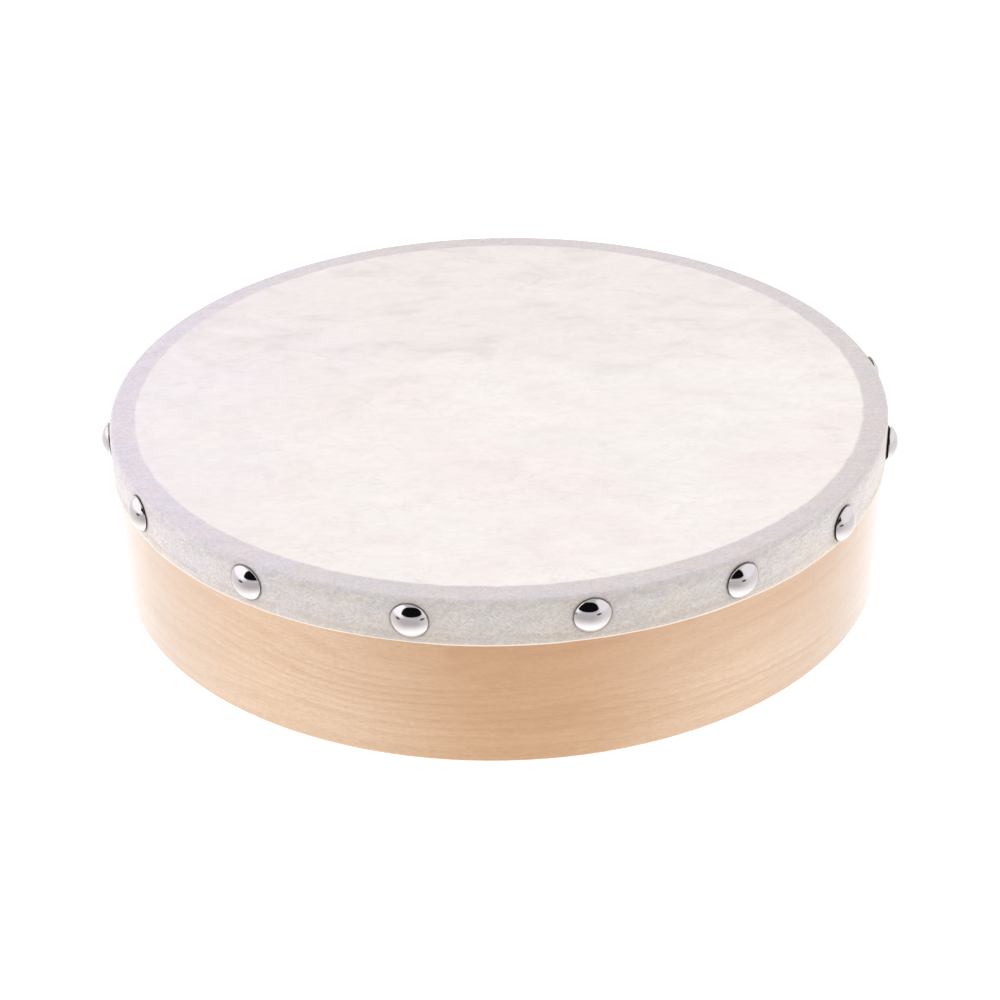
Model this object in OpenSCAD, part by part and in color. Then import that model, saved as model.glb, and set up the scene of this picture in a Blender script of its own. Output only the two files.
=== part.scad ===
// Frame drum: a natural skin nailed over a bent plywood shell.
// The origin is at the centre of the shell's open bottom edge. +Z points up, to the playing face,
// and -Y is the front.

/* [Shell] */
// Outside diameter of the wooden shell
shell_d = 250; // [200:1:300]
// Depth of the wooden shell
shell_h = 55; // [40:1:90]
// Number of veneer plies bent into the shell
ply_count = 5; // [3:1:7]
// Thickness of one ply
ply_t = 1.5; // [1.2:0.1:2]
// Radius worked on the shell's top outer edge, where the skin turns down
top_round = 0.8; // [0.4:0.1:1.1]
// Radius that takes the sharpness off the shell's other edges
edge_round = 0.5; // [0.3:0.1:0.8]
// Width of the hairline seam where the two ends of a ply meet
seam_gap = 0.12; // [0.08:0.01:0.2]

/* [Skin] */
// Thickness of the dried skin
skin_t = 0.6; // [0.4:0.1:1]
// How far the skin reaches down the side, from the playing face
collar_h = 15; // [13:0.5:25]

/* [Tacks] */
// Number of tacks around the shell
tack_count = 16; // [8:1:20]
// Diameter of a tack's domed cap
cap_d = 11.2; // [8:0.1:12]
// Height of the dome, from its rim
cap_h = 2.8; // [2:0.1:3.2]
// Radius of the dome's rolled edge
cap_edge_r = 0.6; // [0.5:0.1:1.2]
// Thickness of the sheet that the cap is pressed from
cap_t = 0.4; // [0.3:0.05:0.45]
// Gap under the cap's rim, because a tack is not driven quite home
cap_lift = 0.25; // [0:0.05:0.8]
// Height from the playing face down to the middle of an even row of caps
tack_drop = 7.2; // [6.5:0.1:7.5]
// Diameter of the pin's shank
pin_d = 1.6; // [1.2:0.1:2]
// Diameter of the flat head that holds the pin inside its cap
pin_head_d = 4; // [3:0.5:5]
// Wood left between the pin's point and the shell's inner face
wood_behind_pin = 1.9; // [1:0.1:3]

/* [Hidden] */
// How far each tack strays from its even place, because they are driven by eye: round the shell in
// degrees, and up and out in mm. Each list starts at the first tack right of the front and runs right
// round.
TACK_STRAY_DEG = [0.3, -0.4, -1.5, 0, -2, -3, -3, -4, -5, -6, -7, -8, -6, -4.6, -2.4, -0.9];
TACK_STRAY_UP = [0.5, -0.4, -1.4, -0.7, 1.2, 0, 0.3, -0.2, 0.4, 0, -0.3, 0.2, -0.4, 0.7, 0.3, -0.2];
TACK_STRAY_OUT = [0.1, 0.25, 0.35, 0.5, 0.2, 0, 0.1, 0.3, 0, 0.2, 0, 0.1, 0.1, 0.1, 0, 0];

PIN_CLEARANCE = 0.02;
PIN_HEAD_T = 0.4;
PIN_POINT_L = 2;
FIRST_SEAM_AT = 155;
SEAM_SPREAD = 140;
CUT_MARGIN = 1;
// Facets round the shell, a cap and a pin
SHELL_FACETS = 180;
CAP_FACETS = 72;
PIN_FACETS = 48;
$fa = 3;
$fs = 0.2;

shell_r = shell_d / 2;
shell_t = ply_count * ply_t;
face_z = shell_h + skin_t;
skin_r = shell_r + skin_t;
skin_bend_r = top_round + skin_t;
cap_rim_r = skin_r + cap_lift;
pin_point_r = shell_r - shell_t + wood_behind_pin;
shank_end_r = pin_point_r + PIN_POINT_L;

// Radius of a dome's crown, from its own radius and height and its rolled edge
function crown_radius(r, h, edge_r) =
    (pow(r - edge_r, 2) + pow(h, 2) - pow(edge_r, 2)) / (2 * (h - edge_r));

// The pin's head ends where its edge meets the hollow side of the crown
hollow_crown_r = crown_radius(cap_d / 2, cap_h, cap_edge_r) - cap_t;
hollow_crown_drop = hollow_crown_r - sqrt(pow(hollow_crown_r, 2) - pow(pin_head_d / 2, 2));
pin_top_r = cap_rim_r + cap_h - cap_t - hollow_crown_drop;

// Node names
function ply_name(i) = i == 0 ? "outer_ply" : i == ply_count - 1 ? "inner_ply" : str("core_ply_", i);
function two_digits(n) = n < 10 ? str("0", n) : str(n);
function cap_name(i) = str("tack_cap_", two_digits(i + 1));
function pin_name(i) = str("tack_pin_", two_digits(i + 1));

// Where tack i sits: degrees round from the front, height above the bottom edge, and how much less
// deep than the deepest tacks it is driven
function tack_angle(i) = (i + 0.5) * 360 / tack_count + TACK_STRAY_DEG[i % len(TACK_STRAY_DEG)];
function tack_z(i) = face_z - tack_drop + TACK_STRAY_UP[i % len(TACK_STRAY_UP)];
function tack_out(i) = TACK_STRAY_OUT[i % len(TACK_STRAY_OUT)];

// Puts its children on the axis of tack i: their +Z leaves the shell
module at_tack(i) {
    rotate([0, 0, tack_angle(i) - 90])
        translate([tack_out(i), 0, tack_z(i)])
            rotate([0, 90, 0])
                children();
}

// Removes the corner of a profile at [x, y]; sx and sy point into the profile
module round_corner(x, y, sx, sy, r) {
    translate([x, y])
        scale([sx, sy])
            difference() {
                translate([-CUT_MARGIN, -CUT_MARGIN]) square(r + CUT_MARGIN);
                translate([r, r]) circle(r);
            }
}

// One ply's cross-section, from its inner to its outer radius, with the shell's worked edges
module ply_profile(i) {
    outer_r = shell_r - i * ply_t;
    difference() {
        translate([outer_r - ply_t, 0]) square([ply_t, shell_h]);
        if (i == 0) {
            round_corner(outer_r, shell_h, -1, -1, top_round);
            round_corner(outer_r, 0, -1, 1, edge_round);
        }
        if (i == ply_count - 1) {
            round_corner(outer_r - ply_t, shell_h, 1, -1, edge_round);
            round_corner(outer_r - ply_t, 0, 1, 1, edge_round);
        }
    }
}

// The butt seam of one ply; each ply's seam is well away from its neighbours'
module seam_cut(i) {
    middle_r = shell_r - (i + 0.5) * ply_t;
    rotate([0, 0, FIRST_SEAM_AT + i * SEAM_SPREAD - 90])
        translate([middle_r, 0, shell_h / 2])
            cube([2 * ply_t, seam_gap, shell_h + 2 * CUT_MARGIN], center = true);
}

// The hole that tack i's pin makes, from outside the skin down to its point
module pin_hole(i) {
    at_tack(i) {
        translate([0, 0, shank_end_r])
            cylinder(h = pin_top_r - shank_end_r, d = pin_d + 2 * PIN_CLEARANCE, $fn = PIN_FACETS);
        translate([0, 0, pin_point_r - PIN_CLEARANCE])
            cylinder(h = PIN_POINT_L + PIN_CLEARANCE, d1 = 0, d2 = pin_d + 2 * PIN_CLEARANCE, $fn = PIN_FACETS);
    }
}

module ply(i) {
    difference() {
        rotate_extrude($fn = SHELL_FACETS) ply_profile(i);
        seam_cut(i);
        for (k = [0 : tack_count - 1]) pin_hole(k);
    }
}

module drum_head() {
    difference() {
        rotate_extrude($fn = SHELL_FACETS) {
            difference() {
                square([skin_r, face_z]);
                square([shell_r, shell_h - top_round]);
                square([shell_r - top_round, shell_h]);
                translate([shell_r - top_round, shell_h - top_round]) circle(top_round);
                translate([0, -CUT_MARGIN]) square([skin_r + CUT_MARGIN, face_z - collar_h + CUT_MARGIN]);
                round_corner(skin_r, face_z, -1, -1, skin_bend_r);
            }
        }
        for (k = [0 : tack_count - 1]) pin_hole(k);
    }
}

// Right half of a dome's outline: a wide crown that runs into a small rolled edge, upright at its rim
module dome_profile(r, h, edge_r) {
    crown_r = crown_radius(r, h, edge_r);
    crown_y = h - crown_r;
    intersection() {
        square([r, h]);
        union() {
            square([r - edge_r, edge_r / 2]);
            translate([r - edge_r, 0]) circle(edge_r);
            intersection() {
                translate([0, crown_y]) circle(crown_r);
                polygon([[0, crown_y], [2 * (r - edge_r), -crown_y], [0, 2 * crown_r]]);
            }
        }
    }
}

// A dome pressed from thin sheet, open underneath
module tack_cap(i) {
    at_tack(i)
        translate([0, 0, cap_rim_r])
            rotate_extrude($fn = CAP_FACETS)
                difference() {
                    dome_profile(cap_d / 2, cap_h, cap_edge_r);
                    dome_profile(cap_d / 2 - cap_t, cap_h - cap_t, cap_edge_r - cap_t);
                }
}

// A flat head under the dome, a straight shank and a conical point
module tack_pin(i) {
    at_tack(i) {
        translate([0, 0, pin_top_r - PIN_HEAD_T]) cylinder(h = PIN_HEAD_T, d = pin_head_d, $fn = PIN_FACETS);
        translate([0, 0, shank_end_r]) cylinder(h = pin_top_r - shank_end_r, d = pin_d, $fn = PIN_FACETS);
        translate([0, 0, pin_point_r]) cylinder(h = PIN_POINT_L, d1 = 0, d2 = pin_d, $fn = PIN_FACETS);
    }
}

color("linen") drum_head();
for (i = [0 : ply_count - 1]) {
    color("burlywood") ply(i);
}
for (i = [0 : tack_count - 1]) {
    color("silver") tack_cap(i);
    color("gray") tack_pin(i);
}
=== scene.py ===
"""Frame drum: the looks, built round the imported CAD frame. Metres, +Z up, -Y to the front."""

import math

import bpy
import numpy as np
from mathutils import Matrix, Vector


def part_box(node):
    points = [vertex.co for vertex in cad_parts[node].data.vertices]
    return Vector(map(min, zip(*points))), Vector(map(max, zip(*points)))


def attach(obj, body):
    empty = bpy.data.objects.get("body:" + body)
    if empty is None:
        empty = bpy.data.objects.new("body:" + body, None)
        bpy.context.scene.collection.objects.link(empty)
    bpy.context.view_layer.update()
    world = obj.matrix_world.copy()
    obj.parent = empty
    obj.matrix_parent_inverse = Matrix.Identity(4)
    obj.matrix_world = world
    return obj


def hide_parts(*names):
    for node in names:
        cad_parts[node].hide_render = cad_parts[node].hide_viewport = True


MM = 0.001

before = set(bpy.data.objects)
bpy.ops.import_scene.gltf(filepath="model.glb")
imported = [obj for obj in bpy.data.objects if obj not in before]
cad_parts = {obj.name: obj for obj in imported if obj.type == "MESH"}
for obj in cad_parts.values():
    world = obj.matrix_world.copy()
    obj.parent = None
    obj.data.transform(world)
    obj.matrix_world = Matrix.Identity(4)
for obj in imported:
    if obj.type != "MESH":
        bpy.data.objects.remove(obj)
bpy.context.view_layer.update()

# ---------------------------------------------------------------- sizes taken from the frame

HEAD_LOW, HEAD_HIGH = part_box("drum_head")
SKIN_R = HEAD_HIGH.x
FACE_Z = HEAD_HIGH.z
COLLAR_LOW = HEAD_LOW.z
SHELL_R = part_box("outer_ply")[1].x
SHELL_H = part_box("outer_ply")[1].z
PLY_T = SHELL_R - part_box("core_ply_1")[1].x
SHELL_INNER_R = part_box("inner_ply")[1].x - PLY_T
SKIN_T = SKIN_R - SHELL_R

# The shell's top outer edge is rounded, and the skin bends over it
TOP_ROUND = 0.8 * MM
BEND_R = TOP_ROUND + SKIN_T

PLIES = ["outer_ply", "core_ply_1", "core_ply_2", "core_ply_3", "inner_ply"]
CAPS = sorted(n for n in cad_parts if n.startswith("tack_cap_"))
PINS = sorted(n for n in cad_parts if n.startswith("tack_pin_"))
CAP_R = (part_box(CAPS[0])[1].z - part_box(CAPS[0])[0].z) / 2

# Where the plies' butt seams are, in degrees round from the front
FIRST_SEAM_AT = 155
SEAM_SPREAD = 140

# Each point of the skin carries its distance from the nearest tack, in millimetres
TACK_DISTANCE = "tack_distance"
FAR_FROM_TACKS = 99.0

random = np.random.default_rng(11)


# ---------------------------------------------------------------- node trees

class Tree:
    """Adds shader nodes to a node tree. Each method adds its nodes and returns their output."""

    def __init__(self, tree):
        self.tree = tree
        tree.nodes.clear()

    def add(self, kind, inputs=None, output=0, **settings):
        node = self.tree.nodes.new(kind)
        for name, value in settings.items():
            setattr(node, name, value)
        for name, value in (inputs or {}).items():
            self.put(node.inputs[name], value)
        return node.outputs[output] if len(node.outputs) else node

    def put(self, socket, value):
        if isinstance(value, bpy.types.NodeSocket):
            self.tree.links.new(value, socket)
        elif isinstance(value, tuple) and socket.type == "RGBA" and len(value) == 3:
            socket.default_value = (*value, 1)
        else:
            socket.default_value = value

    def math(self, operation, a, b=0.0, c=0.0):
        return self.add("ShaderNodeMath", {0: a, 1: b, 2: c}, operation=operation)

    def plus(self, a, b):
        return self.math("ADD", a, b)

    def minus(self, a, b):
        return self.math("SUBTRACT", a, b)

    def times(self, a, b):
        return self.math("MULTIPLY", a, b)

    def over(self, a, b):
        return self.math("DIVIDE", a, b)

    def times_plus(self, a, b, c):
        """a times b, plus c."""
        return self.math("MULTIPLY_ADD", a, b, c)

    def absolute(self, a):
        return self.math("ABSOLUTE", a)

    def lerp(self, factor, a, b):
        """A plain number between a and b."""
        return self.add("ShaderNodeMix", {"Factor": factor, 2: a, 3: b}, data_type="FLOAT")

    def ramp(self, value, low, high, to_low=0.0, to_high=1.0):
        """Runs smoothly from to_low to to_high while value goes from low to high."""
        inputs = {"Value": value, 1: low, 2: high, 3: to_low, 4: to_high}
        return self.add("ShaderNodeMapRange", inputs, interpolation_type="SMOOTHSTEP")

    def vector(self, x, y, z=0.0):
        return self.add("ShaderNodeCombineXYZ", {0: x, 1: y, 2: z})

    def split(self, vector):
        node = self.tree.nodes.new("ShaderNodeSeparateXYZ")
        self.tree.links.new(vector, node.inputs[0])
        return node.outputs[0], node.outputs[1], node.outputs[2]

    def scaled(self, vector, factors):
        return self.add("ShaderNodeVectorMath", {0: vector, 1: factors}, operation="MULTIPLY")

    def noise(self, vector, size, detail=4.0, roughness=0.55, distortion=0.0):
        """Noise whose blobs are about size across, in the vector's own units."""
        inputs = {
            "Vector": vector,
            "Scale": 1 / size,
            "Detail": detail,
            "Roughness": roughness,
            "Distortion": distortion,
        }
        return self.add("ShaderNodeTexNoise", inputs)

    def mix(self, factor, a, b, blend="MIX"):
        """A color between a and b."""
        inputs = {"Factor": factor, 6: a, 7: b}
        return self.add("ShaderNodeMix", inputs, output=2, data_type="RGBA", blend_type=blend)

    def tinted(self, color, tint):
        return self.mix(1.0, color, tint, "MULTIPLY")

    def shade(self, color, value, amount):
        """Lightens or darkens color by amount while value goes either way from a half."""
        gain = self.times_plus(self.minus(value, 0.5), 2 * amount, 1.0)
        return self.tinted(color, self.vector(gain, gain, gain))

    def bump(self, height, distance, strength):
        inputs = {"Height": height, "Distance": distance, "Strength": strength}
        return self.add("ShaderNodeBump", inputs)

    def place_mm(self):
        """The point's place in the drum's frame, in millimetres."""
        return self.scaled(self.add("ShaderNodeTexCoord", output=3), (1000, 1000, 1000))

    def radius(self, x, y):
        return self.math("SQRT", self.plus(self.math("POWER", x, 2.0), self.math("POWER", y, 2.0)))

    def turn_from(self, x, y, degrees):
        """Radians round the drum, from minus pi to pi, whose ends meet degrees round from the front."""
        sine, cosine = math.sin(math.radians(degrees)), math.cos(math.radians(degrees))
        across = self.plus(self.times(x, -sine), self.times(y, cosine))
        along = self.plus(self.times(x, cosine), self.times(y, sine))
        return self.math("ARCTAN2", self.times(along, -1.0), across)


def new_material(name):
    material = bpy.data.materials.new(name)
    material.use_nodes = True
    return material, Tree(material.node_tree)


def finish_material(tree, inputs):
    surface = tree.add("ShaderNodeBsdfPrincipled", inputs)
    tree.add("ShaderNodeOutputMaterial", {"Surface": surface})


# ---------------------------------------------------------------- dried skin
# Sizes inside the materials are in millimetres

# Where nothing lies behind the skin
CLEAR_SKIN = (0.912, 0.892, 0.832)
FREE_SKIN = (0.908, 0.862, 0.812)
PINK_SKIN = (0.872, 0.832, 0.780)
LAVENDER_LIGHT_SKIN = (0.872, 0.835, 0.838)
SMOKE_SKIN = (0.650, 0.610, 0.575)
# Where it lies on the shell's edge, and on the shell's outside; the left and right colours are lit copies,
# painted light for the brighter-lit sides
BACKED_SKIN = (0.675, 0.640, 0.620)
BACKED_LEFT_LIT = (0.735, 0.690, 0.730)
COLLAR_SKIN = (0.643, 0.601, 0.556)
COLLAR_LEFT_LIT = (0.676, 0.634, 0.622)
COLLAR_RIGHT_LIT = (0.680, 0.641, 0.602)
# Real stains on the collar; the same colour also paints the faint halo of shade round each cap
STAIN_AND_SHADE_SKIN = (0.470, 0.400, 0.320)
CUT_SKIN = (0.960, 0.855, 0.730)
# Painted contact shadow close to a cap and under the collar's edge, and near-black painted shadow under a
# cap's hollow
CONTACT_SHADOW = (0.180, 0.140, 0.130)
CAP_SHADE = (0.030, 0.018, 0.018)
WARM_TINT = (1.015, 1.000, 0.975)
COOL_TINT = (0.985, 1.000, 1.025)

# The hide's patterns run along x
HIDE_RUN = (0.62, 1.0, 1.0)
CLOUD_SIZE = 34
TINT_SIZE = 60
# It turns pinker towards the back, and more lavender towards the left, which is painted light, the tint of
# the light from the left; both
# along ragged lines: where, before the noise is added, and how far the noise shifts that
PINK_FROM_TO, PINK_SHIFT = (60, 135), 160.0
LAVENDER_FROM_TO, LAVENDER_SHIFT = (20, -50), 130.0
WISP_SIZE = 12
VEINY_PATCH_SIZE = 17
CRUMPLE_SIZE = 5.5
MARBLE_SIZE = 16
FIBRE_SIZE = 1.6
# Width of a vein and of the net's lines, as a share of the noise that they are cut from
VEIN_WIDTH = 0.022
NET_WIDTH = 0.045

# The hair side's grain: short marks that slant one way or the other, in degrees, and their patches
GRAIN_SLANTS = (38, -33)
GRAIN_SIZE = 0.48
GRAIN_RUN = (0.36, 1.0, 1.0)
GRAIN_PATCH_SIZE = 6
# How strongly the grain shows on the collar and on the face's ring
COLLAR_GRAIN = 0.28
RIM_GRAIN = 0.20

# The collar's two bands of stain: streaks that start, are full, fade and end this high over its low
# end, and spots that start and are full this far under the bend
STREAKS_AT, STREAKS_STRENGTH = (1.0, 1.8, 3.2, 4.6), 0.32
SPOTS_AT, SPOTS_STRENGTH = (3.2, 0.8), 0.42
# How high over the collar's low end its pale cut edge fades out
CUT_FROM, CUT_TO = 0.45, 0.75
# How far past a cap's rim its ring of painted contact shadow and its fainter halo of painted shade reach
RING_REACH, HALO_REACH = 0.55, 2.4
RING_STRENGTH, HALO_STRENGTH = 0.72, 0.18


def ridges(tree, noise, width):
    """Thin dark lines: 1 where the noise crosses a half, 0 at width away from it."""
    return tree.ramp(tree.absolute(tree.minus(noise, 0.5)), width, 0.0)


def free_skin_color(tree, place):
    """Dried skin with nothing behind it: pale, clouded, with fine veins and smoky wisps of fibre."""
    x, y, _ = tree.split(place)
    laid = tree.scaled(place, HIDE_RUN)
    clouds = tree.noise(laid, CLOUD_SIZE, detail=4, roughness=0.55, distortion=0.6)
    backward = tree.ramp(tree.times_plus(clouds, PINK_SHIFT, y), *PINK_FROM_TO)
    tints = tree.noise(place, TINT_SIZE, detail=2)
    leftward = tree.ramp(tree.times_plus(tints, LAVENDER_SHIFT, x), *LAVENDER_FROM_TO)
    color = tree.mix(tree.ramp(clouds, 0.38, 0.62), CLEAR_SKIN, FREE_SKIN)
    color = tree.mix(backward, color, PINK_SKIN)
    # Painted light: the lavender tint of the light from the left
    color = tree.mix(tree.times(leftward, 0.75), color, LAVENDER_LIGHT_SKIN)

    wisps = tree.noise(laid, WISP_SIZE, detail=7, roughness=0.58, distortion=0.6)
    smoke = tree.times(tree.ramp(wisps, 0.54, 0.28), tree.times_plus(backward, 0.26, 0.14))
    veiny = tree.ramp(tree.noise(laid, VEINY_PATCH_SIZE, detail=3, distortion=0.5), 0.46, 0.68)
    veins = tree.times(ridges(tree, wisps, VEIN_WIDTH), tree.times_plus(veiny, 0.20, 0.03))
    crumple = tree.noise(laid, CRUMPLE_SIZE, detail=7, roughness=0.55, distortion=0.35)
    net = tree.times(ridges(tree, crumple, NET_WIDTH), tree.times_plus(veiny, 0.06, 0.08))
    color = tree.mix(tree.plus(smoke, tree.plus(veins, net)), color, SMOKE_SKIN)

    marble = tree.noise(laid, MARBLE_SIZE, detail=5, roughness=0.6, distortion=0.4)
    drawn = tree.scaled(place, (0.42, 1.0, 1.0))
    fibres = tree.noise(drawn, FIBRE_SIZE, detail=4, roughness=0.65, distortion=0.5)
    return tree.shade(tree.shade(color, marble, 0.06), fibres, 0.07)


def grained_skin_color(tree, flat, color, amount):
    """Skin that lies on wood shows its grain: short marks that slant either way in patches."""
    slanted = []
    for seed, slant in zip((0.0, 7.0), GRAIN_SLANTS):
        turn = (0, 0, math.radians(slant))
        turned = tree.add("ShaderNodeMapping", {"Vector": flat, "Rotation": turn})
        x, y, _ = tree.split(tree.scaled(turned, GRAIN_RUN))
        marks = tree.noise(tree.vector(x, y, seed), GRAIN_SIZE, detail=3, roughness=0.62, distortion=0.4)
        slanted.append(marks)
    patches = tree.ramp(tree.noise(flat, GRAIN_PATCH_SIZE, detail=3), 0.42, 0.58)
    grain = tree.ramp(tree.lerp(patches, *slanted), 0.30, 0.70)
    mottle = tree.noise(tree.scaled(flat, (0.5, 1.0, 1.0)), 4, detail=5, roughness=0.6)
    tint = tree.ramp(tree.noise(tree.scaled(flat, (0.6, 1.0, 1.0)), 7, detail=4), 0.35, 0.65)
    color = tree.tinted(color, tree.mix(tint, WARM_TINT, COOL_TINT))
    return tree.shade(tree.shade(color, grain, amount * 0.55), mottle, amount * 0.6)


def rim_skin_color(tree, x, y):
    """The ring of the face that lies on the shell's edge, with painted light towards the left: paler and
    more lavender.
    """
    # Painted light: paler and more lavender towards the left
    color = tree.mix(tree.ramp(x, -20, -122), BACKED_SKIN, BACKED_LEFT_LIT)
    return grained_skin_color(tree, tree.vector(x, y), color, RIM_GRAIN)


def collar_skin_color(tree, x, arc, z):
    """The collar on the shell's outside, with painted light making it paler towards the left and right, and
    stained in places near the bend and near its cut edge.
    """
    # Painted light: paler towards the left and right sides
    color = tree.mix(tree.ramp(x, -20, -110), COLLAR_SKIN, COLLAR_LEFT_LIT)
    color = tree.mix(tree.ramp(x, 45, 95), color, COLLAR_RIGHT_LIT)
    cut_z, bend_z = COLLAR_LOW / MM, (FACE_Z - BEND_R) / MM
    color = tree.tinted(color, tree.mix(tree.ramp(z, cut_z, bend_z), WARM_TINT, COOL_TINT))
    color = grained_skin_color(tree, tree.vector(arc, z), color, COLLAR_GRAIN)

    start, full, fade, end = [cut_z + height for height in STREAKS_AT]
    streak_band = tree.times(tree.ramp(z, end, fade), tree.ramp(z, start, full))
    streaks = tree.noise(tree.vector(tree.times(arc, 0.05), z), 0.9, detail=3)
    streaks = tree.times(streak_band, tree.ramp(streaks, 0.36, 0.62))
    spot_band = tree.ramp(z, bend_z - SPOTS_AT[0], bend_z - SPOTS_AT[1])
    spots = tree.noise(tree.vector(tree.times(arc, 0.4), z), 1.6, detail=5, roughness=0.6)
    spots = tree.times(spot_band, tree.ramp(spots, 0.40, 0.66))
    stain = tree.times_plus(spots, SPOTS_STRENGTH, tree.times(streaks, STREAKS_STRENGTH))
    return tree.mix(stain, color, STAIN_AND_SHADE_SKIN)


def cap_painted_shade(tree, place, color):
    """Painted shade on the skin round the caps: a faint halo and a dark ring of contact shadow past each
    rim, and near-black shadow under each cap's hollow.
    """
    away = tree.add("ShaderNodeAttribute", output=2, attribute_name=TACK_DISTANCE)
    uneven = tree.times_plus(tree.noise(place, 1.6, detail=3), 0.8, tree.minus(away, 0.4))
    rim = CAP_R / MM
    # Painted shade: a faint halo, then a dark ring of contact shadow at the rim, then near-black shadow
    # under the cap
    halo = tree.ramp(uneven, rim + HALO_REACH, rim)
    color = tree.mix(tree.times(halo, HALO_STRENGTH), color, STAIN_AND_SHADE_SKIN)
    ring = tree.ramp(uneven, rim + RING_REACH, rim + 0.05)
    color = tree.mix(tree.times(ring, RING_STRENGTH), color, CONTACT_SHADOW)
    return tree.mix(tree.ramp(away, rim + 0.05, rim - 0.25), color, CAP_SHADE)


def skin_material():
    material, tree = new_material("dried_skin")
    place = tree.place_mm()
    x, y, z = tree.split(place)
    r = tree.radius(x, y)
    arc = tree.times(tree.turn_from(x, y, 180), SKIN_R / MM)
    inner, outer = SHELL_INNER_R / MM, SHELL_R / MM

    wavy_r = tree.times_plus(tree.noise(place, 6, detail=3), 1.4, tree.minus(r, 0.7))
    backed = tree.ramp(wavy_r, inner - 0.6, inner + 0.6)
    top = tree.mix(backed, free_skin_color(tree, place), rim_skin_color(tree, x, y))
    down_side = tree.ramp(z, (FACE_Z - 0.2 * BEND_R) / MM, (FACE_Z - 1.0 * BEND_R) / MM)
    outside = tree.times(down_side, tree.ramp(r, inner + 2, outer - 1))
    color = tree.mix(outside, top, collar_skin_color(tree, x, arc, z))
    cut = tree.ramp(z, COLLAR_LOW / MM + CUT_TO, COLLAR_LOW / MM + CUT_FROM)
    # Painted shade round and under the caps
    color = cap_painted_shade(tree, place, tree.mix(cut, color, CUT_SKIN))

    grain = tree.noise(tree.scaled(place, (0.5, 1.0, 0.8)), 0.7, detail=5, roughness=0.6)
    pores = tree.noise(place, 2.4, detail=3)
    height = tree.times_plus(pores, 0.6, grain)
    finish_material(tree, {
        "Base Color": color,
        "Roughness": tree.ramp(pores, 0.3, 0.7, 0.46, 0.6),
        "Specular IOR Level": 0.35,
        "Normal": tree.bump(height, 0.08 * MM, 0.9),
    })
    return material


# ---------------------------------------------------------------- plywood

OUTSIDE_VENEER = "veneer_outer_ply"
HEARTWOOD = (0.641, 0.376, 0.187)
# Sapwood's tone, as on the plies' edges; aside of the drum's middle it is also painted light
SAPWOOD_AND_SIDE_LIGHT = (0.765, 0.545, 0.360)
# Painted shade for the drum's far sides
SIDE_SHADE_WOOD = (0.562, 0.402, 0.262)
DARKER_TOP_WOOD = (0.515, 0.268, 0.118)
LATE_WOOD = (0.515, 0.255, 0.095)
PALE_FIBRE = (1.060, 1.095, 1.145)
WARM_FIBRE = (0.945, 0.905, 0.840)
KNOT = (0.300, 0.180, 0.120)
# Where the heartwood's middle lies along x, and how far aside of it the veneer turns to a paler sapwood
# tone, which is painted light for the drum's brighter-lit sides
HEART_MIDDLE = 8
SIDE_LIGHT_FROM_TO = (5, 62)
# How far aside of the drum's middle it turns to the darker side wood, which is painted shade that tones the
# sheen down at the far sides
SIDE_FROM_TO = (62, 118)

# Features are drawn out along the grain
FIGURE_RUN = (0.16, 1.0, 1.0)
FLAME_SIZE = 10
FIBRE_RUN = (0.15, 1.0, 1.0)
VENEER_FIBRE_SIZE = 0.80
HAIR_RUN = (0.28, 1.0, 1.0)
HAIR_SIZE = 0.50
HAIR_CONTRAST = 0.17
FLECK_SIZE = 0.45
FLECK_STRENGTH = 0.34
# Patches in which the growth lines show more, and how strongly they show at least and at most
LATE_PATCH_SIZE = 14
LATE_STRENGTHS = (0.08, 0.30)

# Growth lines in each millimetre across the grain, and by how many lines the drift, the jitter and
# the lens of closed rings shift them
LINES_PER_MM = 0.22
DRIFT_SIZE = 24
DRIFT_LINES = 6.5
JITTER_RUN = (0.05, 1.0, 1.0)
JITTER_SIZE = 3
JITTER_LINES = 0.5
LENS_LINES = 2.4
# Where that lens sits along and across the veneer, and how far it reaches each way
LENS_AT = (-35, 29)
LENS_REACH_ALONG, LENS_REACH_ACROSS = 45, 9
# One small pin knot in the outside veneer
KNOT_AT = (135, 12)
KNOT_R = 0.6
# The wood is darker towards the collar, and less on the left
DARKER_TOP_FROM, DARKER_TOP_STRENGTH = 5, 0.37
DARKER_TOP_LEFT_TO_RIGHT = (-75, 5)
DARKER_TOP_LEFT_SHARE = 0.5
# Strength of the painted contact shadow just under the collar's edge
UNDER_EDGE_SHADOW = 0.55


def growth_rings(tree, arc, across, sheet):
    """Lines a few millimetres apart that wander along the grain, with one long lens of closed rings."""
    drift = tree.noise(tree.scaled(sheet, FIGURE_RUN), DRIFT_SIZE, detail=3, roughness=0.45)
    jitter = tree.noise(tree.scaled(sheet, JITTER_RUN), JITTER_SIZE, detail=2)
    rings = tree.times_plus(drift, DRIFT_LINES, tree.times(across, LINES_PER_MM))
    rings = tree.times_plus(jitter, JITTER_LINES, rings)
    lens_x = tree.over(tree.minus(arc, LENS_AT[0]), LENS_REACH_ALONG)
    lens_y = tree.over(tree.minus(across, LENS_AT[1]), LENS_REACH_ACROSS)
    off = tree.math("POWER", tree.radius(lens_x, lens_y), 2.0)
    lens = tree.math("EXPONENT", tree.times(off, -1.0))
    return tree.math("FRACT", tree.times_plus(lens, LENS_LINES, rings))


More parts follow.
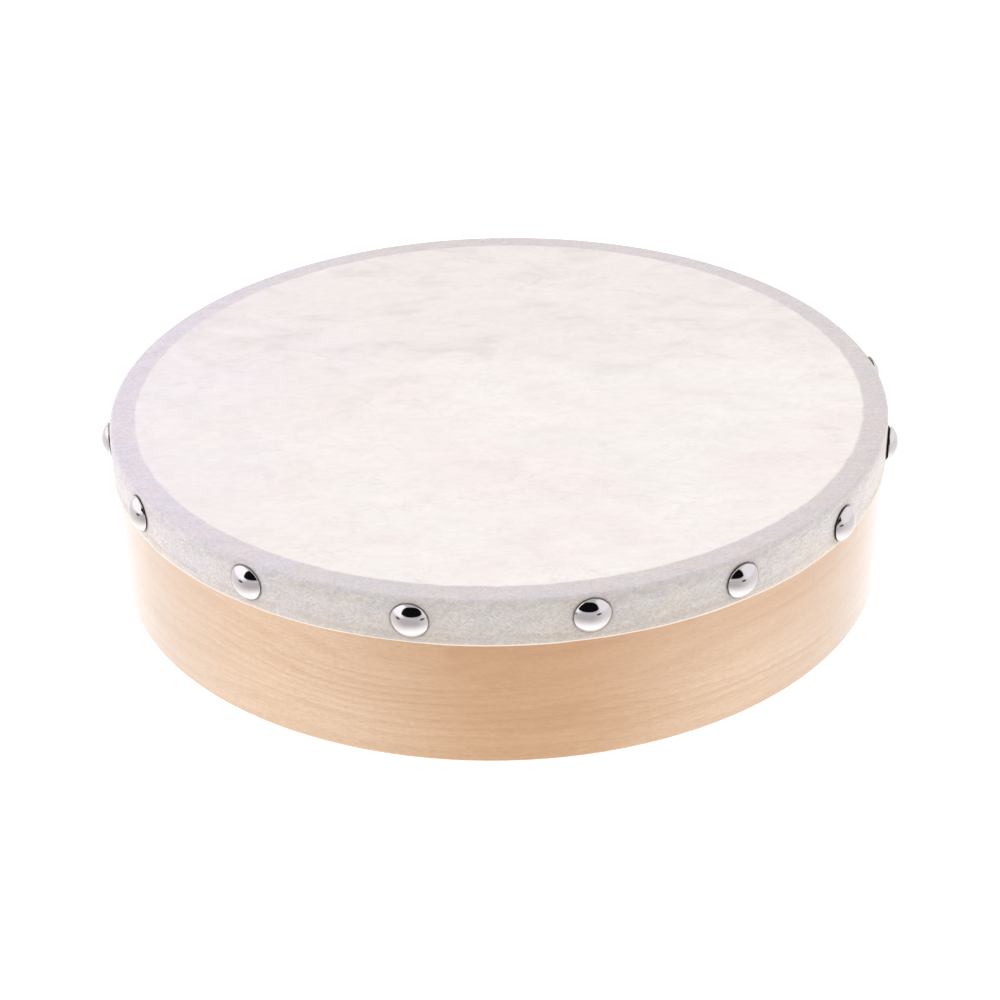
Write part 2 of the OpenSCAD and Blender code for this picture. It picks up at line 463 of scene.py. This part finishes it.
def outside_veneer_marks(tree, x, z, arc, color):
    """Darker towards the collar, a thin painted contact shadow just under the collar's edge, and the knot.
    """
    collar_z = COLLAR_LOW / MM
    # Darker towards the collar, and less on the left
    darker_top = tree.ramp(z, DARKER_TOP_FROM, collar_z, 0.0, DARKER_TOP_STRENGTH)
    darker_top = tree.times(darker_top, tree.ramp(x, *DARKER_TOP_LEFT_TO_RIGHT, DARKER_TOP_LEFT_SHARE, 1.0))
    color = tree.mix(darker_top, color, DARKER_TOP_WOOD)
    # A thin painted contact shadow just under the collar's edge
    under_edge = tree.ramp(z, collar_z - 0.55, collar_z - 0.05)
    color = tree.mix(tree.times(under_edge, UNDER_EDGE_SHADOW), color, CONTACT_SHADOW)
    from_knot = tree.radius(tree.minus(arc, KNOT_AT[0]), tree.minus(z, KNOT_AT[1]))
    return tree.mix(tree.ramp(from_knot, KNOT_R, 0.3 * KNOT_R), color, KNOT)


def wood_tone_with_painted_light(tree, x):
    """Heartwood near the middle, a paler sapwood tone aside of it that is painted light, and darker wood at
    the drum's far sides that is painted shade.
    """
    from_heart = tree.absolute(tree.minus(x, HEART_MIDDLE))
    # Painted light aside of the middle, and painted shade at the far sides
    color = tree.mix(tree.ramp(from_heart, *SIDE_LIGHT_FROM_TO), HEARTWOOD, SAPWOOD_AND_SIDE_LIGHT)
    return tree.mix(tree.ramp(tree.absolute(x), *SIDE_FROM_TO), color, SIDE_SHADE_WOOD)


def fibred_color(tree, sheet, fibres, color):
    """Pale and warm streaks along the grain, with fine short hairs over them."""
    flames = tree.noise(tree.scaled(sheet, FIGURE_RUN), FLAME_SIZE, detail=3, roughness=0.5, distortion=0.3)
    streaks = tree.plus(tree.times(flames, 0.45), tree.times(fibres, 0.55))
    color = tree.tinted(color, tree.mix(tree.ramp(streaks, 0.36, 0.64), WARM_FIBRE, PALE_FIBRE))
    hairs = tree.noise(tree.scaled(sheet, HAIR_RUN), HAIR_SIZE, detail=2, roughness=0.6)
    return tree.shade(color, hairs, HAIR_CONTRAST)


def late_wood_color(tree, wave, sheet, flecks, color):
    """The dark side of each growth line, which shows more in some patches, and small dark flecks."""
    late = tree.times(tree.ramp(wave, 0.10, 0.85), tree.ramp(wave, 1.0, 0.80))
    patches = tree.noise(tree.scaled(sheet, (0.1, 1.0, 1.0)), LATE_PATCH_SIZE, detail=3)
    shown = tree.ramp(patches, 0.36, 0.62, *LATE_STRENGTHS)
    color = tree.mix(tree.times(late, shown), color, LATE_WOOD)
    return tree.mix(tree.times(flecks, FLECK_STRENGTH), color, LATE_WOOD)


def veneer_edge_color(tree, place, cross_grain):
    """What a ply's cut edge shows: the ends of its fibres on a cross ply, or else their sides."""
    base, size = (HEARTWOOD, 0.35) if cross_grain else (SAPWOOD_AND_SIDE_LIGHT, 0.8)
    fibres = tree.noise(tree.scaled(place, (1.0, 1.0, 0.2)), size, detail=3)
    return tree.shade(base, fibres, 0.30)


def plywood_material(name, seam_at, cross_grain, seed):
    """Rotary-cut veneer, its grain round the hoop, or up it on a cross ply. Its edges show cut fibres."""
    material, tree = new_material(name)
    place = tree.place_mm()
    x, y, z = tree.split(place)
    arc = tree.times(tree.turn_from(x, y, seam_at), SHELL_R / MM)
    front_arc = tree.times(tree.turn_from(x, y, 180), SHELL_R / MM)
    along, across = (z, arc) if cross_grain else (arc, z)
    sheet = tree.vector(along, across, float(seed))

    fibres = tree.noise(tree.scaled(sheet, FIBRE_RUN), VENEER_FIBRE_SIZE, detail=5, roughness=0.70)
    flecks = tree.noise(tree.scaled(sheet, FIGURE_RUN), FLECK_SIZE, detail=2, roughness=0.5)
    flecks = tree.ramp(flecks, 0.58, 0.74)
    color = fibred_color(tree, sheet, fibres, wood_tone_with_painted_light(tree, x))
    wave = growth_rings(tree, front_arc, across, sheet)
    color = late_wood_color(tree, wave, sheet, flecks, color)
    if name == OUTSIDE_VENEER:
        color = outside_veneer_marks(tree, x, z, front_arc, color)
    upward = tree.absolute(tree.split(tree.add("ShaderNodeNewGeometry", output=1))[2])
    color = tree.mix(tree.ramp(upward, 0.5, 0.9), color, veneer_edge_color(tree, place, cross_grain))

    height = tree.minus(fibres, tree.times(flecks, 0.5))
    finish_material(tree, {
        "Base Color": color,
        "Roughness": tree.ramp(fibres, 0.3, 0.7, 0.42, 0.52),
        "Normal": tree.bump(height, 0.02 * MM, 0.7),
        "Coat Weight": 1.0,
        "Coat Roughness": 0.15,
        "Coat IOR": 1.5,
        "Sheen Weight": 0.85,
        "Sheen Roughness": 0.33,
        "Sheen Tint": (0.93, 0.96, 1.0),
    })
    return material


# ---------------------------------------------------------------- metals

DARK_CHROME = (0.490, 0.470, 0.475)
BRIGHT_CHROME = (0.530, 0.510, 0.515)
DARK_STEEL = (0.420, 0.420, 0.430)
BRIGHT_STEEL = (0.600, 0.600, 0.620)


def chrome_material():
    material, tree = new_material("tack_chrome")
    place = tree.place_mm()
    haze = tree.noise(place, 1.5, detail=3)
    fine = tree.noise(place, 0.5, detail=2)
    finish_material(tree, {
        "Base Color": tree.mix(haze, DARK_CHROME, BRIGHT_CHROME),
        "Metallic": 1.0,
        "Roughness": tree.ramp(haze, 0.3, 0.8, 0.03, 0.09),
        "Normal": tree.bump(fine, 0.002 * MM, 0.3),
    })
    return material


def pin_material():
    material, tree = new_material("pin_steel")
    drawn = tree.noise(tree.place_mm(), 0.3, detail=3)
    finish_material(tree, {
        "Base Color": tree.mix(drawn, DARK_STEEL, BRIGHT_STEEL),
        "Metallic": 1.0,
        "Roughness": tree.ramp(drawn, 0.3, 0.7, 0.3, 0.45),
    })
    return material


# ---------------------------------------------------------------- meshes

def mesh_object(name, points, faces, material):
    mesh = bpy.data.meshes.new(name)
    mesh.from_pydata(points.tolist(), [], faces)
    mesh.update()
    mesh.shade_smooth()
    mesh.materials.append(material)
    thing = bpy.data.objects.new(name, mesh)
    bpy.context.scene.collection.objects.link(thing)
    return thing


def lathe_faces(rings, segments):
    """Quads between consecutive rings of points, each ring being segments long."""
    faces = []
    for k in range(rings - 1):
        a, b = k * segments, (k + 1) * segments
        for i in range(segments):
            j = (i + 1) % segments
            faces.append((b + i, b + j, a + j, a + i))
    return faces


def fan_faces(pole, ring_start, segments, outward):
    """Triangles from a pole to a ring."""
    pairs = [(ring_start + i, ring_start + (i + 1) % segments) for i in range(segments)]
    return [(pole, a, b) if outward else (pole, b, a) for a, b in pairs]


# ---------------------------------------------------------------- drum head

SEGMENTS = 900
FACE_RINGS, RIM_RINGS, BEND_RINGS, COLLAR_RINGS = 24, 8, 9, 31
# The skin's underside keeps this far off the shell
CLEARANCE = 0.02 * MM
# Rounding of the collar's cut edge, and half of how far that edge wanders up and down
CUT_ROUND = 0.22 * MM
EDGE_WANDER = 0.12 * MM
# Slack of the collar between the tacks, its lip against a cap's rim, how far it swells up inside a
# cap's hollow, and its folds round a cap
LOOSE = 0.12 * MM
RIM_LIP = 0.10 * MM
CAP_FILL = 0.12 * MM
FOLD = 0.035 * MM
FOLDS_ROUND_A_CAP = 9
# How far from a cap's middle those reach, as shares of its radius
TIGHT_TO, LIP_TO, FILL_TO = 1.9, 1.10, 0.90
FOLDS_AT, FOLDS_WIDTH = 1.45, 0.28
# The free face sags a little and swells in long, low waves, 18 to 55 millimetres long
SAG = 0.05 * MM
SWELLS = 7
SWELL_HEIGHT = 0.006 * MM
SWELL_SHORTEST, SWELL_LONGEST = 18, 55


def tack_places():
    """(angle from +X, height, rim radius, cap radius, cap height) of each tack, from its CAD cap."""
    places = []
    for name in CAPS:
        low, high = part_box(name)
        middle = (low + high) / 2
        points = np.array([v.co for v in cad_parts[name].data.vertices])
        # The box's middle gives a rough angle, and a few steps bring it to where the cap faces
        angle = math.atan2(middle.y, middle.x)
        for _ in range(3):
            out = points @ np.array([math.cos(angle), math.sin(angle), 0])
            side = points @ np.array([-math.sin(angle), math.cos(angle), 0])
            angle += (side.max() + side.min()) / 2 / out.mean()
        places.append((angle, middle.z, out.min(), (high.z - low.z) / 2, out.max() - out.min()))
    return places


def smooth_wander(angles, waves, strongest):
    """A smooth closed wander round the drum, from -1 to 1."""
    total = np.zeros_like(angles)
    for n in range(1, waves + 1):
        weight = 1 / (1 + abs(n - strongest) / strongest)
        total += weight * np.sin(n * angles + random.uniform(0, 2 * math.pi))
    return total / np.abs(total).max()


TACKS = tack_places()
ANGLES = np.arange(SEGMENTS) / SEGMENTS * 2 * math.pi
WANDER = {
    "loose": smooth_wander(ANGLES, 40, 16),
    "edge": smooth_wander(ANGLES, 60, 9),
}


def sideways_from(angles, tack_angle):
    """How far round the skin's outside each angle is from a tack, in metres."""
    turn = (angles - tack_angle + math.pi) % (2 * math.pi) - math.pi
    return turn * SKIN_R


def step_down(value, middle, width):
    """Runs smoothly from 1 to 0 as value passes middle."""
    return (1 - np.tanh((value - middle) / (2 * width))) / 2


def collar_relief(angles, heights):
    """How far the collar's outside stands off its even radius: looser between the tacks, pulled tight
    near one, drawn up against the rim of its cap with a few small folds, and swollen inside the cap."""
    off = LOOSE * (1 + 0.8 * WANDER["loose"])
    for angle, z, rim_out, cap_r, _ in TACKS:
        sideways, upward = sideways_from(angles, angle), heights - z
        away = np.hypot(sideways, upward) / cap_r
        tight = np.exp(-((away / TIGHT_TO) ** 4))
        lip = RIM_LIP * step_down(away, LIP_TO, 0.05)
        swell = (rim_out - SKIN_R + CAP_FILL - RIM_LIP) * step_down(away, FILL_TO, 0.02)
        wave = np.cos(FOLDS_ROUND_A_CAP * np.arctan2(upward, sideways) + 7 * angle)
        fold = FOLD * wave * np.exp(-(((away - FOLDS_AT) / FOLDS_WIDTH) ** 2))
        off = off * (1 - tight) + lip + swell + fold
    return off


def skin_rings():
    """(radius, height, is it on the outside) of each ring of the skin, from the middle of its face to
    the middle of its underside."""
    bend_r, bend_z = SHELL_R - TOP_ROUND, SHELL_H - TOP_ROUND
    turns = np.linspace(90, 0, BEND_RINGS)
    under_r, under_round = SHELL_R + CLEARANCE, TOP_ROUND + CLEARANCE
    rings = []
    for r in np.linspace(2 * MM, SHELL_INNER_R - 2 * MM, FACE_RINGS):
        rings.append((r, FACE_Z, True))
    for r in np.linspace(SHELL_INNER_R - 1 * MM, bend_r, RIM_RINGS + 1)[:-1]:
        rings.append((r, FACE_Z, True))
    for turn in np.radians(turns):
        rings.append((bend_r + BEND_R * math.cos(turn), bend_z + BEND_R * math.sin(turn), True))
    for z in np.linspace(bend_z, COLLAR_LOW + CUT_ROUND, COLLAR_RINGS + 1)[1:]:
        rings.append((SKIN_R, z, True))
    rings.append((SKIN_R - 0.3 * CUT_ROUND, COLLAR_LOW + 0.3 * CUT_ROUND, True))
    rings.append((SKIN_R - CUT_ROUND, COLLAR_LOW, True))
    rings.append((under_r, COLLAR_LOW, False))
    for z in np.linspace(COLLAR_LOW, bend_z, 8)[1:]:
        rings.append((under_r, z, False))
    for turn in np.radians(turns[::-2])[1:]:
        rings.append((bend_r + under_round * math.cos(turn), bend_z + under_round * math.sin(turn), False))
    for r in np.linspace(bend_r, SHELL_INNER_R, 4)[1:]:
        rings.append((r, SHELL_H + CLEARANCE, False))
    for r in np.linspace(SHELL_INNER_R - 1 * MM, 2 * MM, 8):
        rings.append((r, SHELL_H, False))
    return rings


def face_swell(points):
    """A free skin is never quite flat: gentle waves a few hundredths of a millimetre high."""
    swell = np.zeros(len(points))
    for _ in range(SWELLS):
        heading = random.uniform(0, math.pi)
        length = random.uniform(SWELL_SHORTEST, SWELL_LONGEST) * MM
        phase = random.uniform(0, 2 * math.pi)
        along = points[:, 0] * math.cos(heading) + points[:, 1] * math.sin(heading)
        swell += np.sin(along / length * 2 * math.pi + phase)
    return swell * SWELL_HEIGHT


def distance_from_tacks(points):
    """Millimetres from each point on the collar's outside to the nearest tack's axis."""
    angles = np.arctan2(points[:, 1], points[:, 0])
    nearest = np.full(len(points), FAR_FROM_TACKS)
    for angle, z, _, _, _ in TACKS:
        away = np.hypot(sideways_from(angles, angle), points[:, 2] - z)
        nearest = np.minimum(nearest, away / MM)
    on_collar = np.hypot(points[:, 0], points[:, 1]) > SHELL_R - TOP_ROUND
    return np.where(on_collar, nearest, FAR_FROM_TACKS).astype(np.float32)


def drum_head(material):
    """The dried skin: one piece from its face, over the shell's edge, to the cut edge of its collar."""
    rings = skin_rings()
    layers = []
    for r, z, outside in rings:
        radius = np.full(SEGMENTS, r)
        height = np.full(SEGMENTS, z)
        if outside and r > SHELL_R:
            down = np.clip((SHELL_H - TOP_ROUND - z) / (3 * MM), 0, 1)
            radius = radius + down * collar_relief(ANGLES, height)
        near_cut = np.clip(1 - (z - COLLAR_LOW) / (5 * MM), 0, 1)
        height = height + near_cut * EDGE_WANDER * (1 + WANDER["edge"])
        layers.append(np.stack([radius * np.cos(ANGLES), radius * np.sin(ANGLES), height], axis=1))
    points = np.concatenate(layers)
    free = np.clip((SHELL_INNER_R - np.hypot(points[:, 0], points[:, 1])) / (6 * MM), 0, 1)
    points[:, 2] += free * (face_swell(points) - SAG)

    top_pole, bottom_pole = len(points), len(points) + 1
    poles = np.array([[0, 0, FACE_Z - SAG], [0, 0, SHELL_H - SAG]])
    points = np.concatenate([points, poles])
    faces = lathe_faces(len(rings), SEGMENTS)
    faces += fan_faces(top_pole, 0, SEGMENTS, True)
    faces += fan_faces(bottom_pole, (len(rings) - 1) * SEGMENTS, SEGMENTS, False)
    head = mesh_object("drum_head_skin", points, faces, material)
    distances = head.data.attributes.new(TACK_DISTANCE, "FLOAT", "POINT")
    distances.data.foreach_set("value", distance_from_tacks(points))
    return head


# ---------------------------------------------------------------- tacks

CAP_EDGE_R = 0.6 * MM
CAP_SHEET = 0.4 * MM
CAP_SEGMENTS = 72
CAP_OUTSIDE_RINGS, CAP_INSIDE_RINGS = 22, 10


def arc_points(center, radius, turns):
    """(out from the axis, up the axis) of the points of an arc, each turn measured from the axis."""
    return [radius * np.array([math.sin(t), math.cos(t)]) + center for t in turns]


def cap_outline(cap_r, cap_h, inset, rings):
    """Half of a dome's section, set in by inset: a wide crown, then a small rolled edge."""
    crown_r = ((cap_r - CAP_EDGE_R) ** 2 + cap_h**2 - CAP_EDGE_R**2) / (2 * (cap_h - CAP_EDGE_R))
    meet = math.atan2(cap_r - CAP_EDGE_R, crown_r - cap_h)
    crown_turns = np.linspace(0.04, meet, rings)
    edge_turns = np.linspace(meet, math.pi / 2, rings // 2)[1:]
    crown = arc_points((0, cap_h - crown_r), crown_r - inset, crown_turns)
    return crown + arc_points((cap_r - CAP_EDGE_R, 0), CAP_EDGE_R - inset, edge_turns)


def tack_dome(name, tack, material):
    """A dome pressed from thin sheet, hollow underneath."""
    angle, z, rim_out, cap_r, cap_h = tack
    outside = cap_outline(cap_r, cap_h, 0, CAP_OUTSIDE_RINGS)
    inside = cap_outline(cap_r, cap_h, CAP_SHEET, CAP_INSIDE_RINGS)[::-1]
    turns = np.arange(CAP_SEGMENTS) / CAP_SEGMENTS * 2 * math.pi
    layers = []
    for r, h in outside + inside:
        layers.append(np.stack([np.full(CAP_SEGMENTS, h), r * np.cos(turns), r * np.sin(turns)], axis=1))
    poles = np.array([[cap_h, 0, 0], [cap_h - CAP_SHEET, 0, 0]])
    points = np.concatenate([*layers, poles])
    outside_pole, inside_pole = len(points) - 2, len(points) - 1
    faces = lathe_faces(len(layers), CAP_SEGMENTS)
    faces += fan_faces(outside_pole, 0, CAP_SEGMENTS, True)
    faces += fan_faces(inside_pole, (len(layers) - 1) * CAP_SEGMENTS, CAP_SEGMENTS, False)
    place = Matrix.Rotation(angle, 4, "Z") @ Matrix.Translation((rim_out, 0, z))
    placed = np.array([place @ Vector(p) for p in points])
    return mesh_object(name, placed, faces, material)


# ---------------------------------------------------------------- build

def dress_node(name, material):
    """Gives a CAD node that keeps its shape a finished material."""
    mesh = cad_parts[name].data
    mesh.materials.clear()
    mesh.materials.append(material)


def build_plies():
    for i, name in enumerate(PLIES):
        seam_at = FIRST_SEAM_AT + i * SEAM_SPREAD
        dress_node(name, plywood_material(f"veneer_{name}", seam_at, cross_grain=i % 2 == 1, seed=17 * i))


def build_head():
    head = drum_head(skin_material())
    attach(head, "root")
    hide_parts("drum_head")


def build_tacks():
    chrome = chrome_material()
    steel = pin_material()
    for cap, pin, tack in zip(CAPS, PINS, TACKS):
        dome = tack_dome(cap.replace("cap", "dome"), tack, chrome)
        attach(dome, "root")
        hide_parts(cap)
        dress_node(pin, steel)


# ---------------------------------------------------------------- studio

CAMERA_DISTANCE = 0.775
CAMERA_HEIGHT_ANGLE = 30.2
CAMERA_ROLL = -1.23
CAMERA_LENS = 83.5
AIM = Vector((-0.0002, 0, 0.0153))

FLOOR_REACH = 6.0
FLOOR_GLOW = 1.0
FLOOR_GREYS = ((0.30, 0.30, 0.30), (0.32, 0.32, 0.32))
FLOOR_CLOUD_SIZE = 0.3
WHITE = (1.0, 1.0, 1.0)


def build_camera():
    data = bpy.data.cameras.new("camera")
    data.lens = CAMERA_LENS
    data.sensor_width = 36
    data.clip_start = 0.01
    camera = bpy.data.objects.new("camera", data)
    bpy.context.scene.collection.objects.link(camera)
    tilt = math.radians(CAMERA_HEIGHT_ANGLE)
    camera.location = AIM + CAMERA_DISTANCE * Vector((0, -math.cos(tilt), math.sin(tilt)))
    level = (AIM - camera.location).to_track_quat("-Z", "Y").to_matrix()
    roll = Matrix.Rotation(math.radians(CAMERA_ROLL), 3, "Z")
    camera.rotation_euler = (level @ roll).to_euler()
    bpy.context.scene.camera = camera


def build_floor():
    """A pale table that glows by itself, so that the drum casts next to no shadow on it."""
    material, tree = new_material("floor")
    clouds = tree.noise(tree.add("ShaderNodeTexCoord", output=3), FLOOR_CLOUD_SIZE)
    finish_material(tree, {
        "Base Color": tree.mix(clouds, *FLOOR_GREYS),
        "Roughness": 0.9,
        "Specular IOR Level": 0.1,
        "Emission Color": WHITE,
        "Emission Strength": FLOOR_GLOW,
    })
    corners = np.array([[-1, -1, 0], [1, -1, 0], [1, 1, 0], [-1, 1, 0]]) * FLOOR_REACH
    floor = mesh_object("floor", corners, [(0, 1, 2, 3)], material)
    floor.visible_glossy = False


# Brightness of the white tent round the table. Its parts are placed in degrees from the front and up
CEILING_LIGHT = 0.895
LEFT_WALL_LIGHT, RIGHT_WALL_LIGHT, BACK_WALL_LIGHT = 1.95, 1.5, 1.2
WALLS_FROM, WALLS_TO = 28, 58
BACK_WALL_FROM, BACK_WALL_TO = 115, 140
WALL_TOP, WALL_FADE = 45, 12
# The table in front, at the sides and close by, and the pale strip where it meets the walls
TABLE_FRONT_LIGHT, TABLE_SIDE_LIGHT, TABLE_NEAR_LIGHT = 0.86, 1.30, 2.1
TABLE_FRONT_MIDDLE, TABLE_FRONT_TO, TABLE_SIDE_FROM = -12, 20, 95
NEAR_FROM, NEAR_TO = -20, -72
STRIP_LIGHT, STRIP_HEIGHT = 0.35, 6
# The dark opening at the front: an arch whose widest place is above its sill
OPENING_MIDDLE, OPENING_HALF_WIDTH = -5, 49
OPENING_BOTTOM, OPENING_WIDEST, OPENING_TOP = 9, 20, 54
OPENING_SIDE_POWER, OPENING_TOP_POWER = 2.4, 3.0
OPENING_LIGHT = 0.01
# (round, up, strength) of small dark things on the table
DARK_MARKS = [(-66, -8, 0.9), (41, -6, 0.9)]
MARK_HALF_WIDTH, MARK_HALF_HEIGHT = 12, 5
TABLE_TINT = (1.0, 0.97, 0.965)
TENT_TINT = (1.0, 0.965, 1.0)
# Where the table's light gives way to the walls', and its tint to theirs
HORIZON_FROM_TO = (-4, 6)
TINT_FROM_TO = (-25, 5)


def table_light(tree, azimuth, height):
    from_front = tree.absolute(tree.minus(azimuth, TABLE_FRONT_MIDDLE))
    light = tree.ramp(from_front, TABLE_FRONT_TO, TABLE_SIDE_FROM, TABLE_FRONT_LIGHT, TABLE_SIDE_LIGHT)
    light = tree.plus(light, tree.ramp(height, -STRIP_HEIGHT, STRIP_HEIGHT, 0.0, STRIP_LIGHT))
    return tree.lerp(tree.ramp(height, NEAR_FROM, NEAR_TO), light, TABLE_NEAR_LIGHT)


def tent_light(tree, azimuth, height):
    """The walls and the ceiling."""
    aside = tree.absolute(azimuth)
    wall = tree.ramp(azimuth, -30, 30, LEFT_WALL_LIGHT, RIGHT_WALL_LIGHT)
    wall = tree.lerp(tree.ramp(aside, BACK_WALL_FROM, BACK_WALL_TO), wall, BACK_WALL_LIGHT)
    below_top = tree.ramp(height, WALL_TOP + WALL_FADE, WALL_TOP)
    return tree.lerp(tree.times(tree.ramp(aside, WALLS_FROM, WALLS_TO), below_top), CEILING_LIGHT, wall)


def outside_opening(tree, azimuth, height):
    """1 outside the dark opening at the front, and next to nothing inside it."""
    across = tree.over(tree.minus(azimuth, OPENING_MIDDLE), OPENING_HALF_WIDTH)
    over_widest = tree.minus(height, OPENING_WIDEST)
    to_top = tree.over(over_widest, OPENING_TOP - OPENING_WIDEST)
    to_bottom = tree.over(over_widest, OPENING_BOTTOM - OPENING_WIDEST)
    side = tree.math("POWER", tree.absolute(across), OPENING_SIDE_POWER)
    end = tree.math("POWER", tree.math("MAXIMUM", to_top, to_bottom), OPENING_TOP_POWER)
    return tree.ramp(tree.plus(side, end), 0.92, 1.08, OPENING_LIGHT, 1.0)


def outside_mark(tree, azimuth, height, mark):
    """1 outside one small dark mark, and less by its strength inside it."""
    mark_azimuth, mark_height, strength = mark
    across = tree.over(tree.minus(azimuth, mark_azimuth), MARK_HALF_WIDTH)
    up = tree.over(tree.minus(height, mark_height), MARK_HALF_HEIGHT)
    inside = tree.ramp(tree.radius(across, up), 1.2, 0.5)
    return tree.times_plus(inside, -strength, 1.0)


def build_world():
    """A white tent with a dark opening at the front. The camera itself sees plain white."""
    world = bpy.data.worlds.new("tent")
    bpy.context.scene.world = world
    world.use_nodes = True
    tree = Tree(world.node_tree)
    x, y, z = tree.split(tree.add("ShaderNodeTexCoord", output=0))
    azimuth = tree.math("DEGREES", tree.math("ARCTAN2", x, tree.times(y, -1.0)))
    height = tree.math("DEGREES", tree.math("ARCSINE", z))

    table, tent = table_light(tree, azimuth, height), tent_light(tree, azimuth, height)
    light = tree.lerp(tree.ramp(height, *HORIZON_FROM_TO), table, tent)
    light = tree.times(light, outside_opening(tree, azimuth, height))
    for mark in DARK_MARKS:
        light = tree.times(light, outside_mark(tree, azimuth, height, mark))

    seen = tree.add("ShaderNodeLightPath", output=0)
    tint = tree.mix(tree.ramp(height, *TINT_FROM_TO), TABLE_TINT, TENT_TINT)
    color = tree.mix(seen, tint, WHITE)
    strength = tree.lerp(seen, light, 1.0)
    shown = tree.add("ShaderNodeBackground", {"Color": color, "Strength": strength})
    tree.add("ShaderNodeOutputWorld", {"Surface": shown})


def build_view():
    view = bpy.context.scene.view_settings
    view.view_transform = "Standard"
    view.look = "None"
    view.exposure = 0.0


build_camera()
build_head()
build_plies()
build_tacks()
build_floor()
build_world()
build_view()

bpy.context.view_layer.update()
